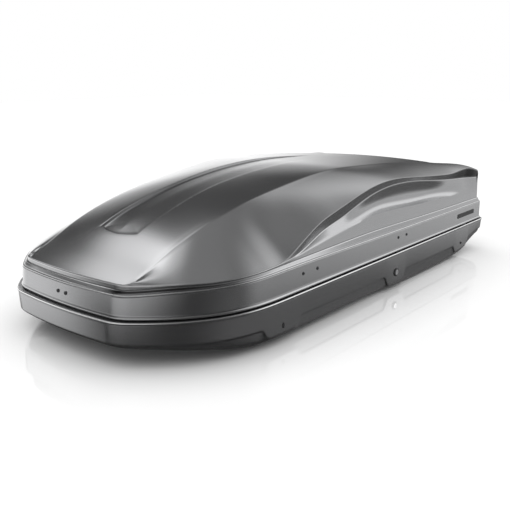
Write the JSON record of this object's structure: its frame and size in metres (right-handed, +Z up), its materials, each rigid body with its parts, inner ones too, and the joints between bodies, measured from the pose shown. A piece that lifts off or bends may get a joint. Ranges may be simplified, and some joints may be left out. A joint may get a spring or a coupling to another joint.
{
  "type": "roof cargo box",
  "caption": "Long hard-shell roof box: hollow tray with roof-bar clamps and a sculpted lid that hinges on one side, with gas struts and a key-worked lock bar.",
  "frame": {"origin": "centre of the box's footprint, at the tray's underside", "axes": "+X toward the rear (the pointed nose is at -X), lock side at -Y, hinge side at +Y, +Z up"},
  "size_m": [1.75, 0.8576, 0.4109],
  "materials": {
    "titan_plastic": "satin metallic grey, moulded",
    "black_plastic": "matt black",
    "dark_rubber": "matt black",
    "zinc_steel": "zinc plated",
    "bright_chrome": "polished",
    "black_steel": "black coated"
  },
  "bodies": {
    "base": {"base_shell": "titan_plastic", "lid_seal": "dark_rubber", "lock_surround": "black_plastic", "bar_guide_1": "black_plastic", "bar_guide_2": "black_plastic", "pod_plug_front": "black_plastic", "pod_plug_rear": "black_plastic", "base_rail_near": "zinc_steel", "base_rail_far": "zinc_steel", "strut_front_foot": "zinc_steel", "strut_rear_foot": "zinc_steel", "hinge_1_base_leaf": "zinc_steel", "hinge_2_base_leaf": "zinc_steel", "hinge_3_base_leaf": "zinc_steel", "hinge_1_pin": "black_steel", "hinge_2_pin": "black_steel", "hinge_3_pin": "black_steel", "clamp_1_frame": "zinc_steel", "clamp_2_frame": "zinc_steel", "clamp_3_frame": "zinc_steel", "clamp_4_frame": "zinc_steel"},
    "lid": {"lid_shell": "titan_plastic", "lid_bow_front": "black_steel", "lid_bow_rear": "black_steel", "nose_locator": "zinc_steel", "nose_screw_a": "black_steel", "nose_screw_b": "black_steel", "name_plate": "black_plastic", "strut_front_lid_bracket": "zinc_steel", "strut_rear_lid_bracket": "zinc_steel", "hinge_1_lid_leaf": "zinc_steel", "hinge_2_lid_leaf": "zinc_steel", "hinge_3_lid_leaf": "zinc_steel", "striker_1": "zinc_steel", "striker_2": "zinc_steel", "striker_3": "zinc_steel", "skirt_screw_1a": "black_steel", "skirt_screw_1b": "black_steel", "skirt_screw_2a": "black_steel", "skirt_screw_2b": "black_steel"},
    "key": {"lock_barrel": "bright_chrome", "lock_cam": "zinc_steel"},
    "bar": {"lock_bar": "zinc_steel", "lock_driver": "zinc_steel", "latch_hook_1": "zinc_steel", "latch_hook_2": "zinc_steel", "latch_hook_3": "zinc_steel"},
    "strut_front_tube": {"strut_front_tube": "black_steel"},
    "strut_front_rod": {"strut_front_rod": "bright_chrome"},
    "strut_rear_tube": {"strut_rear_tube": "black_steel"},
    "strut_rear_rod": {"strut_rear_rod": "bright_chrome"},
    "clamp_1_knob": {"clamp_1_knob": "black_plastic"},
    "clamp_1_claw": {"clamp_1_claw": "black_steel"},
    "clamp_2_knob": {"clamp_2_knob": "black_plastic"},
    "clamp_2_claw": {"clamp_2_claw": "black_steel"},
    "clamp_3_knob": {"clamp_3_knob": "black_plastic"},
    "clamp_3_claw": {"clamp_3_claw": "black_steel"},
    "clamp_4_knob": {"clamp_4_knob": "black_plastic"},
    "clamp_4_claw": {"clamp_4_claw": "black_steel"}
  },
  "joints": [
    {"name": "lid_hinge", "type": "hinge", "parent": "base", "child": "lid", "pos_m": [0, 0.418, 0.131], "axis": [-1, 0, 0], "range_deg": [0, 55]},
    {"name": "key_turn", "type": "hinge", "parent": "base", "child": "key", "pos_m": [0.144, -0.425, 0.059], "axis": [0, 1, 0], "range_deg": [0, 90.2]},
    {"name": "bar_slide", "type": "slide", "parent": "base", "child": "bar", "axis": [1, 0, 0], "range_m": [0, 0.0198]},
    {"name": "strut_front_swing", "type": "hinge", "parent": "base", "child": "strut_front_tube", "pos_m": [-0.355, 0.37, 0.075], "axis": [-1, 0, 0], "range_deg": [0, 49]},
    {"name": "strut_front_extend", "type": "slide", "parent": "strut_front_tube", "child": "strut_front_rod", "axis": [0, -0.5861, 0.8102], "range_m": [0, 0.06]},
    {"name": "strut_rear_swing", "type": "hinge", "parent": "base", "child": "strut_rear_tube", "pos_m": [0.555, 0.37, 0.075], "axis": [-1, 0, 0], "range_deg": [0, 49]},
    {"name": "strut_rear_extend", "type": "slide", "parent": "strut_rear_tube", "child": "strut_rear_rod", "axis": [0, -0.5861, 0.8102], "range_m": [0, 0.06]},
    {"name": "clamp_1_turn", "type": "hinge", "parent": "base", "child": "clamp_1_knob", "pos_m": [-0.315, -0.215, 0.069], "axis": [0, 0, 1], "range_deg": [0, 2160]},
    {"name": "clamp_1_lower", "type": "slide", "parent": "base", "child": "clamp_1_claw", "axis": [0, 0, -1], "range_m": [0, 0.0451]},
    {"name": "clamp_2_turn", "type": "hinge", "parent": "base", "child": "clamp_2_knob", "pos_m": [-0.315, 0.215, 0.069], "axis": [0, 0, 1], "range_deg": [0, 2160]},
    {"name": "clamp_2_lower", "type": "slide", "parent": "base", "child": "clamp_2_claw", "axis": [0, 0, -1], "range_m": [0, 0.0451]},
    {"name": "clamp_3_turn", "type": "hinge", "parent": "base", "child": "clamp_3_knob", "pos_m": [0.345, -0.215, 0.069], "axis": [0, 0, 1], "range_deg": [0, 2160]},
    {"name": "clamp_3_lower", "type": "slide", "parent": "base", "child": "clamp_3_claw", "axis": [0, 0, -1], "range_m": [0, 0.0451]},
    {"name": "clamp_4_turn", "type": "hinge", "parent": "base", "child": "clamp_4_knob", "pos_m": [0.345, 0.215, 0.069], "axis": [0, 0, 1], "range_deg": [0, 2160]},
    {"name": "clamp_4_lower", "type": "slide", "parent": "base", "child": "clamp_4_claw", "axis": [0, 0, -1], "range_m": [0, 0.0451]}
  ],
  "couplings": [
    {"joint": "key_turn", "follows": "bar_slide", "rad_per_m": 79.333},
    {"joint": "strut_front_swing", "follows": "lid_hinge", "ratio": 0.86438},
    {"joint": "strut_front_extend", "follows": "lid_hinge", "m_per_rad": 0.056574},
    {"joint": "strut_rear_swing", "follows": "lid_hinge", "ratio": 0.86438},
    {"joint": "strut_rear_extend", "follows": "lid_hinge", "m_per_rad": 0.056574},
    {"joint": "clamp_1_lower", "follows": "clamp_1_turn", "m_per_rad": 0.0011937},
    {"joint": "clamp_2_lower", "follows": "clamp_2_turn", "m_per_rad": 0.0011937},
    {"joint": "clamp_3_lower", "follows": "clamp_3_turn", "m_per_rad": 0.0011937},
    {"joint": "clamp_4_lower", "follows": "clamp_4_turn", "m_per_rad": 0.0011937}
  ]
}
